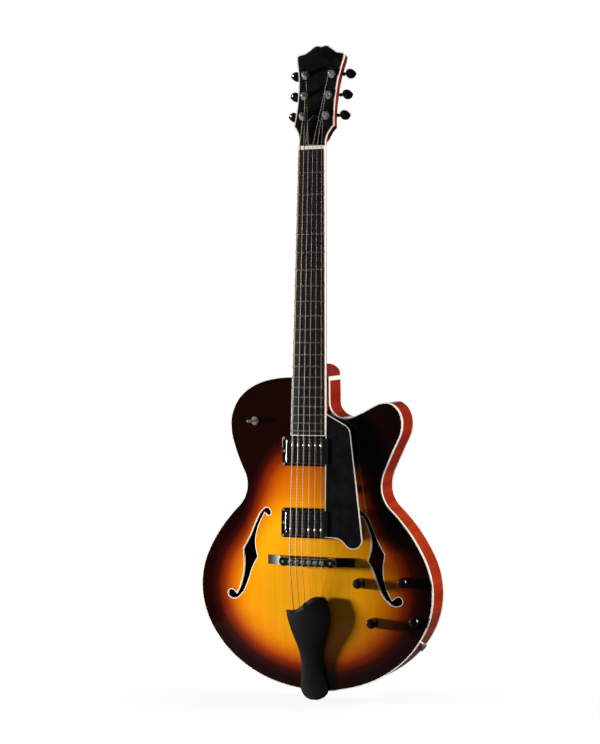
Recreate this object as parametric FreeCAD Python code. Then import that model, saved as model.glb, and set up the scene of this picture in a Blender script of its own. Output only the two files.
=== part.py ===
import FreeCAD, Part
import math
import os

# Frame: Z up along the neck, Y to the back, X to the treble side, origin on the tail rim.
V = FreeCAD.Vector
FRONT = V(0, -1, 0)
os.makedirs("parts", exist_ok=True)

# Body outline, seen from the front; "down" is measured from the neck end
body_length = 485.0
lower_bout = 386.0
lower_bout_at = 156.0
waist = 224.0
waist_down = 168.0
upper_bout = 277.0
upper_bout_down = 75.0
horn_reach = 147.0
horn_side_down = 71.0
horn_tip_x = 121.0
horn_tip_down = 39.0
cutaway_floor_x = 55.0
cutaway_floor_down = 64.0
cutaway_wall_x = 28.5
cutaway_wall_down = 40.0

# Body depth and walls
rim_depth = 52.0
plate_thickness = 5.0
top_arch = 11.0
back_arch = 14.0
arch_run = 98.0
edge_flat = 9.0
binding_width = 1.4
purfling_width = 1.6
lining_width = 6.0
lining_height = 12.0
tone_bar_width = 8.0
tone_bar_depth = 12.0
tone_bar_x = 52.0
f_binding_width = 1.0
glue_line = 0.05

# Neck, strings and set-up
scale_length = 628.65
compensation = 2.4
bridge_at = 202.5
string_height = 35.5
neck_pitch = 3.55
head_angle = 12.1
nut_width = 44.3
board_end_width = 57.5
board_to_bridge = 193.0
board_thickness = 6.2
board_radius = 305.0
board_binding = 1.1
fret_count = 20
fret_width = 2.4
fret_height = 1.1
nut_thickness = 5.2
nut_clearance = 1.6
saddle_clearance = 4.7
nut_spread = 36.0
bridge_spread = 51.6
tail_spread = 49.0
gauges = [1.3, 1.05, 0.8, 0.55, 0.4, 0.3]
neck_depth_nut = 14.5
neck_depth_heel = 17.5
heel_top = 20.0
heel_depth = 51.0
heel_corner = 3.5
tenon_width = 30.0
tenon_length = 14.0

# Headstock and tuners
head_length = 163.7
head_thickness = 11.0
veneer = 2.6
head_drop = 3.0
head_binding = 1.5
post_rows = [(48.6, 19.2), (82.1, 20.0), (116.0, 22.1)]
post_radius = 3.1
post_waist = 2.8
post_height = 10.4
bushing_radius = 4.6
gear_teeth = 16
gear_module = 0.55
gear_width = 3.0
worm_radius = 2.1
shaft_radius = 1.6
button_start = 15.4
button_length = 17.6
button_height = 17.0
button_depth = 8.0
button_turn = 40.0
string_turns = 2

# Bridge
base_length = 143.0
base_width = 14.0
wing_drop = 5.3
bar_width = 11.0
bar_height = 8.0
bar_below_string = 3.0
bridge_post_x = 39.0
bridge_post_radius = 2.0
bar_end_radius = 7.0
wheel_radius = 8.0
wheel_thickness = 3.0
wheel_gap = 3.0
saddle_width = 7.6
saddle_length = 6.4

# Tailpiece
tail_low = 127.0
tail_high = 149.6
tail_curve_start = -28.0
tail_curve_run = 42.0
tail_overhang = 12.6
tail_round = 20.0
tail_foot = 8.0
tail_lift = 21.5
tail_bevel_depth = 4.0
tail_bevel_height = 8.0
hook_half = 9.0
hook_depth = 9.0

# Pickups
neck_pickup_to_bridge = 169.2
bridge_pickup_to_bridge = 59.5
cover_length = 69.9
cover_width = 38.4
cover_depth = 17.0
cover_wall = 0.8
cover_top = 1.5
ring_length = 89.0
ring_width = 45.6
ring_drop = 4.5
pole_radius = 1.5
pole_length = 19.0
pole_head = 2.3
pole_rim = 0.2
pole_dome = 0.7

# Controls
knob_insets = [(113.0, 172.0), (44.0, 175.0), (93.0, 112.0), (27.0, 116.0)]
knob_radius = 8.2
knob_height = 14.0
pot_radius = 8.0
pot_shaft_radius = 3.0
switch_x = -95.0
switch_down = 69.0
switch_tilt = 20.0
jack_along = 0.655
jack_bore = 3.23

# Guard
guard_thickness = 3.0
guard_drop = -0.2
guard_tilt = 4.5
guard_binding = 1.1
guard_inner_x = 30.0
guard_corners = [(guard_inner_x, 429.0, 0.0), (68.2, 408.2, 18.0), (91.4, 223.8, 14.0),
                 (67.3, 225.6, 16.0), (54.8, 240.4, 20.0), (guard_inner_x, 241.4, 0.0)]

# Derived places
rim_wall = binding_width + purfling_width
front_y = -rim_depth / 2.0
back_y = rim_depth / 2.0
switch_at = body_length - switch_down
knob_places = [(lower_bout / 2.0 - inset, z) for inset, z in knob_insets]
string_length = scale_length + compensation
board_length = string_length - board_to_bridge
neck_pickup_at = string_length - neck_pickup_to_bridge
bridge_pickup_at = string_length - bridge_pickup_to_bridge
pitch = math.radians(neck_pitch)
board_at_bridge_y = front_y - string_height + saddle_clearance + 0.3
nut_origin = V(0, board_at_bridge_y + string_length * math.sin(pitch),
               bridge_at + string_length * math.cos(pitch))
X_AXIS = V(1, 0, 0)
neck_frame = FreeCAD.Placement(nut_origin, FreeCAD.Rotation(X_AXIS, -neck_pitch))
head_frame = neck_frame.multiply(FreeCAD.Placement(
    V(0, head_drop, nut_thickness), FreeCAD.Rotation(X_AXIS, -head_angle)))
head_back = veneer + head_thickness
joint_distance = (nut_origin.z - body_length) / math.cos(pitch)


# Small helpers

def save(name, shape):
    shape.exportStep("parts/" + name + ".step")


def group(solids):
    return Part.makeCompound(solids)


def moved(shape, frame):
    out = shape.copy()
    out.Placement = frame.multiply(out.Placement)
    return out


def box(x0, x1, y0, y1, z0, z1):
    return Part.makeBox(x1 - x0, y1 - y0, z1 - z0, V(x0, y0, z0))


def rod(radius, start, end):
    return Part.makeCylinder(radius, (end - start).Length, start, end - start)


def turned(profile):
    points = [V(r, 0, h) for r, h in profile]
    face = Part.Face(Part.makePolygon(points + points[:1]))
    return face.revolve(V(0, 0, 0), V(0, 0, 1), 360)


def aimed(shape, base, direction):
    return moved(shape, FreeCAD.Placement(base, FreeCAD.Rotation(V(0, 0, 1), direction)))


def prism(wire, y0, y1):
    face = Part.Face(wire)
    face.translate(V(0, y0, 0))
    return face.extrude(V(0, y1 - y0, 0))


def ring(outer, inner, y0, y1):
    face = Part.makeFace([outer, inner], "Part::FaceMakerBullseye")
    face.translate(V(0, y0, 0))
    return face.extrude(V(0, y1 - y0, 0))


def one_solid(shape):
    return max(shape.Solids, key=lambda solid: solid.Volume)


# Curves made of arcs that keep their directions

def arc_edge(start, apex, end):
    middle = (start + end) * 0.5
    rise = apex - middle
    half = (end - start).Length / 2.0
    if rise.Length < 1e-5 * half:
        return Part.makeLine(start, end)
    sag = half * math.tan(math.atan2(rise.Length, half) / 2.0)
    return Part.Arc(start, middle + rise * (sag / rise.Length), end).toShape()


def biarc(p0, t0, p1, t1):
    t0 = V(t0) / t0.Length
    t1 = V(t1) / t1.Length
    span = p1 - p0
    both = t0 + t1
    a = both.dot(both) - 4.0
    b = -2.0 * span.dot(both)
    c = span.dot(span)
    if abs(a) < 1e-7:
        reach = -c / b
    else:
        reach = (-b - math.sqrt(b * b - 4.0 * a * c)) / (2.0 * a)
    first = p0 + t0 * reach
    second = p1 - t1 * reach
    join = (first + second) * 0.5
    return [arc_edge(p0, first, join), arc_edge(join, second, p1)]


def flat_curve(stations):
    edges = []
    for here, there in zip(stations, stations[1:]):
        p0 = V(here[0], 0, here[1])
        p1 = V(there[0], 0, there[1])
        edges += biarc(p0, V(here[-2], 0, here[-1]), p1, V(there[2], 0, there[3]))
    return edges


def bezier_stations(p0, p1, p2, p3, count):
    out = []
    for step in range(count + 1):
        t = step / count
        s = 1.0 - t
        point = [s ** 3 * a + 3 * s * s * t * b + 3 * s * t * t * c + t ** 3 * d
                 for a, b, c, d in zip(p0, p1, p2, p3)]
        slope = [s * s * (b - a) + 2 * s * t * (c - b) + t * t * (d - c)
                 for a, b, c, d in zip(p0, p1, p2, p3)]
        out.append((point[0], point[1], slope[0], slope[1]))
    return out


def bend(p0, t0, h0, p1, t1, h1):
    c0 = (p0[0] + t0[0] * h0, p0[1] + t0[1] * h0)
    c1 = (p1[0] - t1[0] * h1, p1[1] - t1[1] * h1)
    return bezier_stations(p0, c0, c1, p1, 2)


ROUND = 0.5523
RIGHT, LEFT, UP, DOWN = (1, 0), (-1, 0), (0, 1), (0, -1)


def lower_corner():
    half = lower_bout / 2.0
    return bend((0, 0), RIGHT, ROUND * half, (half, lower_bout_at), UP, ROUND * lower_bout_at)


def body_outline():
    waist_at = body_length - waist_down
    upper_bout_at = body_length - upper_bout_down
    low = (lower_bout / 2.0, lower_bout_at)
    mid = (waist / 2.0, waist_at)
    horn = (horn_reach, body_length - horn_side_down)
    tip = (horn_tip_x, body_length - horn_tip_down)
    floor = (cutaway_floor_x, body_length - cutaway_floor_down)
    wall = (cutaway_wall_x, body_length - cutaway_wall_down)
    rise = waist_at - lower_bout_at
    climb = horn[1] - waist_at
    edges = flat_curve(lower_corner())
    edges += flat_curve(bend(low, UP, 0.52 * rise, mid, UP, 0.215 * rise))
    edges += flat_curve(bend(mid, UP, 0.25 * climb, horn, UP, 0.21 * climb))
    edges += flat_curve(bend(horn, UP, ROUND * (tip[1] - horn[1]),
                             tip, LEFT, ROUND * (horn[0] - tip[0])))
    drift = 0.32 * (tip[0] - floor[0])
    edges += flat_curve(bend(tip, LEFT, drift, floor, LEFT, drift))
    edges += flat_curve(bend(floor, LEFT, ROUND * (floor[0] - wall[0]),
                             wall, UP, ROUND * (wall[1] - floor[1])))
    edges.append(Part.makeLine(V(wall[0], 0, wall[1]), V(wall[0], 0, body_length)))
    edges.append(Part.makeLine(V(wall[0], 0, body_length), V(-wall[0], 0, body_length)))
    start = (-wall[0], body_length)
    upper = (-upper_bout / 2.0, upper_bout_at)
    side = (-waist / 2.0, waist_at)
    bottom = (-lower_bout / 2.0, lower_bout_at)
    drop = upper_bout_at - waist_at
    edges += flat_curve(bend(start, LEFT, 0.62 * (start[0] - upper[0]),
                             upper, DOWN, 0.62 * (start[1] - upper[1])))
    edges += flat_curve(bend(upper, DOWN, 0.41 * drop, side, DOWN, 0.19 * drop))
    edges += flat_curve(bend(side, DOWN, 0.215 * rise, bottom, DOWN, 0.52 * rise))
    edges += flat_curve(bend(bottom, DOWN, ROUND * lower_bout_at,
                             (0, 0), RIGHT, ROUND * lower_bout / 2.0))
    return Part.Wire(edges)


# Arch of the plates: flat at the edge, recurve, then a crown at the bridge

def inside_and_distance(x, z, loop):
    inside = False
    nearest = 1e9
    for (ax, az), (bx, bz) in zip(loop, loop[1:] + loop[:1]):
        if (az > z) != (bz > z) and x < ax + (z - az) * (bx - ax) / (bz - az):
            inside = not inside
        dx, dz = bx - ax, bz - az
        t = max(0.0, min(1.0, ((x - ax) * dx + (z - az) * dz) / (dx * dx + dz * dz + 1e-12)))
        nearest = min(nearest, (ax + t * dx - x) ** 2 + (az + t * dz - z) ** 2)
    return inside, math.sqrt(nearest)


def arch_share(x, z, loop):
    inside, distance = inside_and_distance(x, z, loop)
    if not inside or distance < edge_flat:
        return 0.0
    climb = math.sin(math.pi / 2 * min(1.0, (distance - edge_flat) / arch_run)) ** 2
    off = (2 * x / lower_bout) ** 2 + ((z - bridge_at) / (0.62 * body_length)) ** 2
    return climb * (0.72 + 0.28 * max(0.0, 1.0 - off))


def smoothed(grid):
    out = [row[:] for row in grid]
    for i in range(1, len(grid) - 1):
        for j in range(1, len(grid[0]) - 1):
            if grid[i][j] > 0.0:
                near = sum(grid[i + a][j + b] for a in (-1, 0, 1) for b in (-1, 0, 1))
                out[i][j] = 0.5 * grid[i][j] + 0.5 * near / 9.0
    return out


def arch_grid(wire):
    loop = [(p.x, p.z) for p in wire.discretize(400)][:-1]
    reach = max(lower_bout / 2.0, horn_reach) + 20.0
    xs = [-reach + 2 * reach * i / 30.0 for i in range(31)]
    zs = [-25.0 + (body_length + 50.0) * j / 38.0 for j in range(39)]
    shares = [[arch_share(x, z, loop) for z in zs] for x in xs]
    for _ in range(3):
        shares = smoothed(shares)
    peak = max(max(row) for row in shares)
    return xs, zs, [[value / peak for value in row] for row in shares]


def arch_surface(grid, edge, rise):
    xs, zs, shares = grid
    surface = Part.BSplineSurface()
    surface.interpolate([[V(x, edge + rise * share, z) for z, share in zip(zs, row)]
                         for x, row in zip(xs, shares)])
    return surface


outline = body_outline()
inner_lines = {}


def inset(distance):
    if distance not in inner_lines:
        inner_lines[distance] = outline.makeOffset2D(-distance)
    return inner_lines[distance]


grid = arch_grid(outline)
top_surface = arch_surface(grid, front_y, -top_arch)
back_surface = arch_surface(grid, back_y, back_arch)
top_slab = top_surface.toShape().extrude(V(0, plate_thickness, 0))
back_slab = back_surface.toShape().extrude(V(0, -plate_thickness, 0))


def top_patch(x0, x1, z0, z1):
    piece = top_surface.copy()
    u0, v0 = piece.parameter(V(x0, front_y, z0))
    u1, v1 = piece.parameter(V(x1, front_y, z1))
    piece.segment(u0, u1, v0, v1)
    return piece.toShape()


def top_y(x, z):
    y = front_y
    for _ in range(4):
        y = top_surface.value(*top_surface.parameter(V(x, y, z))).y
    return y


def seated(shape):
    span = shape.BoundBox
    patch = top_patch(span.XMin - 4, span.XMax + 4, span.ZMin - 4, span.ZMax + 4)
    return one_solid(shape.cut(patch.extrude(V(0, 2 * rim_depth, 0))))


# F-holes

def f_hole():
    stations = [
        (69.7, 273.5, 0, 1), (77.8, 281.2, 1, 0), (85.0, 277.0, 0.72, -0.69), (95.8, 260.0, 0.42, -0.91),
        (107.0, 234.7, 0.46, -0.89), (117.9, 215.7, 0.56, -0.83, -0.18, -0.98),
        (115.4, 192.0, 0, -1), (119.3, 168.0, 0.27, -0.96), (129.7, 145.5, 0.55, -0.83, 0.72, 0.69),
        (139.3, 151.8, 1, 0), (145.5, 145.0, 0, -1), (135.0, 137.9, -1, 0),
        (120.5, 146.6, -0.68, 0.73), (109.3, 166.1, -0.38, 0.92), (101.1, 188.4, -0.42, 0.91),
        (91.9, 204.9, -0.55, 0.83, 0.3, 0.95), (96.9, 229.0, 0, 1), (92.4, 251.9, -0.33, 0.94),
        (81.4, 274.1, -0.5, 0.87, -0.8, -0.6), (73.4, 269.8, -1, 0), (69.7, 273.5, 0, 1)]
    return Part.Wire(flat_curve(stations))


def mirrored(shape):
    return shape.mirror(V(0, 0, 0), X_AXIS)


f_opening = f_hole()
f_outer = f_opening.makeOffset2D(f_binding_width)
f_cut = f_opening.makeOffset2D(f_binding_width + glue_line)


def both_sides(shape):
    return [shape, mirrored(shape)]


def make_f_bindings():
    span = f_outer.BoundBox
    patch = top_patch(span.XMin - 4, span.XMax + 4, span.ZMin - 4, span.ZMax + 4)
    slab = patch.extrude(V(0, plate_thickness, 0))
    return both_sides(one_solid(slab.common(ring(f_outer, f_opening, front_y - 40, front_y + 20))))


# Neck frame helpers: distance d runs from the nut to the bridge

def board_half(d):
    return nut_width / 2.0 + (board_end_width - nut_width) / 2.0 * d / board_length


def in_neck(shape):
    return moved(shape, neck_frame)


def neck_point(x, y, d):
    return neck_frame.multVec(V(x, y, -d))


def head_point(x, y, s):
    return head_frame.multVec(V(x, y, s))


def taper_prism(d0, d1, inset_by, y0, y1):
    a = board_half(d0) - inset_by
    b = board_half(d1) - inset_by
    corners = [V(-a, 0, -d0), V(a, 0, -d0), V(b, 0, -d1), V(-b, 0, -d1)]
    return prism(Part.makePolygon(corners + corners[:1]), y0, y1)


# String route: tail, saddle, nut, post

def string_share(i):
    return i / 5.0 - 0.5


def nut_string(i):
    x = nut_spread * string_share(i)
    y = x * x / (2 * board_radius) - nut_clearance - gauges[i] / 2.0
    return neck_point(x, y, -nut_thickness)


def saddle_string(i):
    x = bridge_spread * string_share(i)
    y = x * x / (2 * board_radius) - saddle_clearance - gauges[i] / 2.0
    return neck_point(x, y, string_length)


def tail_edge(x):
    t = max(0.0, min(1.0, (x - tail_curve_start) / tail_curve_run))
    return tail_low + (tail_high - tail_low) * t * t * (3 - 2 * t)


def tail_string(i):
    x = tail_spread * string_share(i)
    return V(x, tail_front(tail_edge(x)) + 5.5, tail_edge(x) - 5.0)


def tail_front(z):
    t = max(0.0, min(1.0, z / 130.0))
    return front_y - tail_foot - tail_lift * t * t * (3 - 2 * t)


# Posts run from bass to treble: strings 0 to 2 go up the bass side, 3 to 5 come down the treble side

def post_place(i):
    along, out = post_rows[i] if i < 3 else post_rows[5 - i]
    return (-out if i < 3 else out), along


def helix_point(i, angle, height):
    x, s = post_place(i)
    turn = 1.0 if i < 3 else -1.0
    reach = post_waist + 0.12 + gauges[i] / 2.0
    side = turn * math.cos(angle) * reach
    return head_point(x + side, -height, s + math.sin(angle) * reach)


def winding(i):
    step = gauges[i] + 0.5
    top = 4.2 + step * string_turns
    quarter = math.pi / 2
    points = []
    for k in range(4 * string_turns + 1):
        angle = k * quarter
        here = helix_point(i, angle, top - step * k / 4.0)
        ahead = helix_point(i, angle + 0.01, top - step * (k + 0.01 / quarter) / 4.0)
        points.append((here, (ahead - here).normalize()))
    return points


def string_route(i):
    tail, saddle, nut = tail_string(i), saddle_string(i), nut_string(i)
    coil = winding(i)
    up = (saddle - tail).normalize()
    along = (nut - saddle).normalize()
    entry = coil[0][0] - (coil[0][0] - nut).normalize() * 3.0
    lead = (entry - nut).normalize()
    edges = [Part.makeLine(tail, saddle - up * 3.0)]
    edges += biarc(saddle - up * 3.0, up, saddle + along * 3.0, along)
    edges.append(Part.makeLine(saddle + along * 3.0, nut - along * 0.2))
    edges += biarc(nut - along * 0.2, along, nut + lead * 4.0, lead)
    edges.append(Part.makeLine(nut + lead * 4.0, entry))
    edges += biarc(entry, lead, coil[0][0], coil[0][1])
    for here, there in zip(coil, coil[1:]):
        edges += biarc(here[0], here[1], there[0], there[1])
    return edges


def string_solid(i):
    edges = string_route(i)
    start = edges[0].valueAt(edges[0].FirstParameter)
    direction = edges[0].tangentAt(edges[0].FirstParameter)
    section = Part.Wire([Part.Circle(start, direction, gauges[i] / 2.0).toShape()])
    tube = Part.Wire(edges).makePipeShell([section], True, False)
    return tube if tube.ShapeType == "Solid" else tube.Solids[0]


def least_turn_gap(i):
    coil = []
    step = gauges[i] + 0.5
    for k in range(24 * string_turns + 1):
        coil.append(helix_point(i, k * math.pi / 12, 4.2 + step * (string_turns - k / 24.0)))
    gaps = [(coil[a] - coil[b]).Length for a in range(len(coil)) for b in range(a + 12, len(coil))]
    return min(gaps) - gauges[i]


# Bridge levels, as heights in front of the rim plane

bar_top = string_height - bar_below_string
bar_bottom = bar_top - bar_height
wheel_bottom = bar_bottom - wheel_thickness
base_top = wheel_bottom - wheel_gap


def level(height):
    return front_y - height


def make_bridge_base():
    # Each wing is level at its end and hollows up to the flat under the thumbwheels
    half = base_length / 2.0
    flat = bridge_post_x + wheel_radius + 1.0
    run = half - flat
    radius = (run * run + wing_drop * wing_drop) / (2.0 * wing_drop)
    turn = math.asin(run / radius) / 2.0
    top, low = level(base_top), level(base_top - wing_drop)
    z = bridge_at - base_width / 2.0
    middle = [half - radius * math.sin(turn), low - radius * (1.0 - math.cos(turn))]
    wings = [Part.Arc(V(sign * half, low, z), V(sign * middle[0], middle[1], z),
                      V(sign * flat, top, z)).toShape() for sign in (-1, 1)]
    under = Part.makePolygon([V(-half, low, z), V(-half, 10, z), V(half, 10, z), V(half, low, z)])
    crown = Part.makeLine(V(-flat, top, z), V(flat, top, z))
    side = Part.Face(Part.Wire([wings[0], crown, wings[1]] + under.Edges[::-1]))
    block = side.extrude(V(0, 0, base_width))
    for sign in (-1, 1):
        block = block.cut(rod(bridge_post_radius, bridge_spot(sign, base_top - 4.5),
                              bridge_spot(sign, base_top + 5)))
    return seated(block)


def bridge_spot(sign, height):
    return V(sign * bridge_post_x, level(height), bridge_at)


def make_bar():
    half = bridge_post_x
    y0, y1 = level(bar_top), level(bar_bottom)
    bar = box(-half, half, y0, y1, bridge_at - bar_width / 2.0, bridge_at + bar_width / 2.0)
    for sign in (-1, 1):
        bar = bar.fuse(rod(bar_end_radius, bridge_spot(sign, bar_bottom), bridge_spot(sign, bar_top)))
    bar = bar.removeSplitter()
    crown = Part.makeCylinder(board_radius, 60, V(0, y0 + board_radius, bridge_at - 30), V(0, 0, 1))
    bar = bar.common(crown)
    reach = bridge_spread / 2.0 + saddle_width / 2.0 + 1.2
    bar = bar.cut(box(-reach, reach, y0 - 1, y1 - 2.2, bridge_at - saddle_length / 2.0 - 0.4,
                      bridge_at + saddle_length / 2.0 + 0.4))
    for sign in (-1, 1):
        bar = bar.cut(rod(bridge_post_radius + 0.05, bridge_spot(sign, bar_bottom - 1),
                          bridge_spot(sign, bar_top + 1)))
    for i in range(6):
        bar = bar.cut(saddle_screw_shank(i, 1.1))
    return one_solid(bar)


def saddle_screw_shank(i, radius):
    x = saddle_string(i).x
    y = level(bar_bottom + 4.4)
    return rod(radius, V(x, y, bridge_at - bar_width / 2.0), V(x, y, bridge_at + bar_width / 2.0))


def make_saddle(i):
    spot = saddle_string(i)
    ridge = spot.y + gauges[i] / 2.0 + 0.22
    floor = level(bar_bottom) - 2.2
    half = saddle_length / 2.0
    points = [V(0, floor, -half), V(0, ridge + 2.2, -half), V(0, ridge, -0.4), V(0, ridge, 0.4),
              V(0, ridge + 2.2, half), V(0, floor, half)]
    face = Part.Face(Part.makePolygon(points + points[:1]))
    face.translate(V(spot.x - saddle_width / 2.0, 0, bridge_at))
    return face.extrude(V(saddle_width, 0, 0)).cut(saddle_screw_shank(i, 1.1))


def make_saddle_screw(i):
    x = saddle_string(i).x
    y = level(bar_bottom + 4.4)
    end = bridge_at - bar_width / 2.0
    head = rod(1.9, V(x, y, end - 1.6), V(x, y, end))
    return head.fuse(saddle_screw_shank(i, 1.1)).removeSplitter()


def make_wheel(sign):
    bore = rod(bridge_post_radius + 0.05, bridge_spot(sign, wheel_bottom - 1),
               bridge_spot(sign, bar_bottom + 1))
    disc = rod(wheel_radius, bridge_spot(sign, wheel_bottom), bridge_spot(sign, bar_bottom))
    return disc.makeChamfer(0.4, disc.Edges[:1] + disc.Edges[2:]).cut(bore)


# Tailpiece: lofted across its length, bevelled S-shaped top edge, hook over the tail

def tail_section(z, bass, treble, thick):
    front = tail_front(z)
    edge = front + 0.45 * thick
    rear = front + thick
    a, b = V(-bass, rear, z), V(-bass, edge, z)
    c, d = V(treble, edge, z), V(treble, rear, z)
    arc = Part.Arc(b, V((treble - bass) / 2.0, front, z), c).toShape()
    return Part.Wire([Part.makeLine(a, b), arc, Part.makeLine(c, d), Part.makeLine(d, a)])


def make_tailpiece():
    rows = [(-tail_overhang, 23.0, 23.0, 7.0), (8.0, 22.8, 21.8, 6.4), (26.0, 20.6, 17.8, 7.0),
            (46.0, 19.0, 16.2, 8.4), (66.0, 21.4, 19.6, 9.6), (90.0, 28.8, 28.2, 10.6),
            (110.0, 34.4, 33.6, 11.0), (128.0, 37.4, 33.6, 11.0), (141.0, 38.0, 30.4, 11.0),
            (152.0, 38.0, 23.0, 11.0)]
    body = Part.makeLoft([tail_section(*row) for row in rows], True, False)
    foot = [(-23.0, -tail_overhang, tail_round), (23.0, -tail_overhang, tail_round), (23.0, 20.0, 0.0),
            (60.0, 20.0, 0.0), (60.0, 170.0, 0.0), (-60.0, 170.0, 0.0), (-60.0, 20.0, 0.0),
            (-23.0, 20.0, 0.0)]
    body = body.common(prism(rounded_loop(foot), front_y - 60, front_y + 20))
    steps = [-44.0 + 4.0 * k for k in range(23)]
    edge = Part.BSplineCurve()
    edge.interpolate([V(x, 0, tail_edge(x)) for x in steps])
    first, last = V(steps[0], 0, tail_edge(steps[0])), V(steps[-1], 0, tail_edge(steps[-1]))
    over = [last, V(last.x, 0, 170), V(first.x, 0, 170), first]
    above = Part.Wire([edge.toShape()] + Part.makePolygon(over).Edges)
    body = body.cut(prism(above, front_y - 60, front_y + 20))
    bevel = Part.Face(above)
    bevel.translate(V(0, tail_front(tail_high), -tail_bevel_height))
    through = 5.0
    body = body.cut(bevel.extrude(V(0, tail_bevel_depth, tail_bevel_height) * through))
    hook = box(-hook_half, hook_half, tail_front(0) + 3.0, 0, -hook_depth, -0.2)
    hook = hook.fuse(rod(hook_half, V(0, 0, -hook_depth), V(0, 0, -0.2)))
    body = body.fuse(hook).removeSplitter()
    for i in range(6):
        start, aim = tail_string(i), (saddle_string(i) - tail_string(i)).normalize()
        body = body.cut(rod(gauges[i] / 2.0 + 0.3, start - aim * 0.5, start + aim * 14.0))
    body = body.cut(tail_screw())
    return one_solid(body)


def tail_screw():
    return turned([(0, -hook_depth), (4.0, -hook_depth), (2.0, -hook_depth + 2.4), (2.0, 17.0),
                   (0, 19.0)])


# Pickups, built in the neck frame

def pickup_bounds(d, length, width, y0, y1):
    return box(-length / 2.0, length / 2.0, y0, y1, -d - width / 2.0, -d + width / 2.0)


def upright_edges(shape):
    return [edge for edge in shape.Edges
            if edge.BoundBox.XLength < 0.01 and edge.BoundBox.ZLength < 0.01]


def rounded_block(d, length, width, y0, y1, radius):
    block = pickup_bounds(d, length, width, y0, y1)
    return block.makeFillet(radius, upright_edges(block))


def pole_side(d):
    return 9.5 if d < (neck_pickup_at + bridge_pickup_at) / 2.0 else -9.5


def pole_rods(d, radius, y0, y1):
    z = -d + pole_side(d)
    rods = []
    for i in range(6):
        x = (nut_spread + (bridge_spread - nut_spread) * d / string_length) * string_share(i)
        rods.append(rod(radius, V(x, y0, z), V(x, y1, z)))
    return rods


def make_cover(d):
    shell = rounded_block(d, cover_length, cover_width, -cover_top, -cover_top + cover_depth, 3.0)
    rim_edges = [edge for edge in shell.Edges if edge.BoundBox.YLength < 0.01
                 and abs(edge.CenterOfMass.y + cover_top) < 0.01]
    shell = shell.makeFillet(0.9, rim_edges)
    inner = rounded_block(d, cover_length - 2 * cover_wall, cover_width - 2 * cover_wall,
                          -cover_top + cover_wall, cover_depth, 2.2)
    return shell.cut(inner).cut(group(pole_rods(d, pole_radius, -10, 10)))


def make_coils(d):
    coils = []
    for side in (-1, 1):
        core = rounded_block(d - side * 9.5, cover_length - 5, 16.0, 0.6, 12.0, 7.5)
        coils.append(core.cut(group(pole_rods(d, pole_radius, -10, 30))))
    return coils


def make_magnet(d):
    return pickup_bounds(d, 60.0, 12.0, 12.0, 15.0)


def make_base_plate(d):
    room = cover_length - 2 * cover_wall - 0.2
    plate = rounded_block(d, room, cover_width - 2 * cover_wall - 0.2, 15.0, 16.2, 2.0)
    legs = pickup_bounds(d, room, 10.0, 16.2, 22.2).cut(pickup_bounds(d, room - 2.4, 12.0, 16.2, 30))
    tabs = pickup_bounds(d, ring_length - 6.0, 10.0, 21.0, 22.2)
    tabs = tabs.cut(pickup_bounds(d, room - 2.4, 12.0, 16.2, 30))
    holes = group(pole_rods(d, pole_radius, 10, 30) + height_shanks(d, 1.2, 10, 30))
    return plate.fuse([legs, tabs]).removeSplitter().cut(holes)


def height_shanks(d, radius, y0, y1):
    x = ring_length / 2.0 - 4.8
    return [rod(radius, V(sign * x, y0, -d), V(sign * x, y1, -d)) for sign in (-1, 1)]


def ring_corner_spots(d):
    return [(sx * (ring_length / 2.0 - 3.2), -d + sz * (ring_width / 2.0 - 3.0))
            for sx in (-1, 1) for sz in (-1, 1)]


def make_ring(d):
    block = rounded_block(d, ring_length, ring_width, ring_drop, ring_drop + 40, 4.0)
    lip = [edge for edge in block.Edges if edge.BoundBox.YLength < 0.01
           and abs(edge.CenterOfMass.y - ring_drop) < 0.01]
    block = block.makeChamfer(0.8, lip)
    block = block.cut(rounded_block(d, cover_length + 0.6, cover_width + 0.6, 0, 60, 3.3))
    return seated(in_neck(block.cut(group(pickup_screws(d)))))


def flush_screw(radius, head, length):
    return turned([(0, 0), (radius, 0), (radius, length - 1.4), (head, length), (0, length)])


def pickup_screws(d):
    screws = [aimed(flush_screw(1.1, 2.1, 24.0), V(x, ring_drop + 24.0, z), FRONT)
              for x, z in ring_corner_spots(d)]
    for sign in (-1, 1):
        x = sign * (ring_length / 2.0 - 4.8)
        screws.append(aimed(flush_screw(1.2, 2.3, 20.0), V(x, ring_drop + 20.0, -d), FRONT))
    return screws


def make_poles(d):
    z = -d + pole_side(d)
    rim = pole_length + pole_rim
    ball = (pole_head * pole_head + pole_dome * pole_dome) / (2.0 * pole_dome)
    crown = Part.makeSphere(ball, V(0, 0, rim + pole_dome - ball))
    dome = crown.common(Part.makeCylinder(pole_head, pole_dome, V(0, 0, rim)))
    shank = turned([(0, 0), (pole_radius, 0), (pole_radius, pole_length), (pole_head, pole_length),
                    (pole_head, rim), (0, rim)])
    screw = shank.fuse(dome).removeSplitter()
    out = []
    for i in range(6):
        x = (nut_spread + (bridge_spread - nut_spread) * d / string_length) * string_share(i)
        out.append(in_neck(aimed(screw, V(x, pole_length - cover_top, z), FRONT)))
    return out


def pickup_routes(d):
    main = rounded_block(d, cover_length + 1.0, cover_width + 1.0, 0, 45, 3.5)
    ears = pickup_bounds(d, ring_length - 4.0, 12.0, 0, 45)
    return [in_neck(shape) for shape in [main, ears] + pickup_screws(d)]


# Controls

def make_knob(x, z):
    base = top_y(x, z) - 1.2
    top = knob_height
    rim = knob_radius
    shape = turned([(3.0, 4.0), (6.7, 4.0), (6.7, 0.0), (rim, 0.0), (rim - 0.5, top - 3.6),
                    (rim - 1.3, top - 1.7), (rim - 2.8, top - 0.6), (rim - 5.0, top),
                    (0, top + 0.2), (0, top - 3.0), (3.0, top - 3.0)])
    return aimed(shape, V(x, base, z), FRONT)


def make_pot_shaft(x, z):
    face = top_y(x, z)
    return rod(pot_shaft_radius, V(x, face + plate_thickness + 6.0, z), V(x, face - knob_height + 1.8, z))


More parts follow.
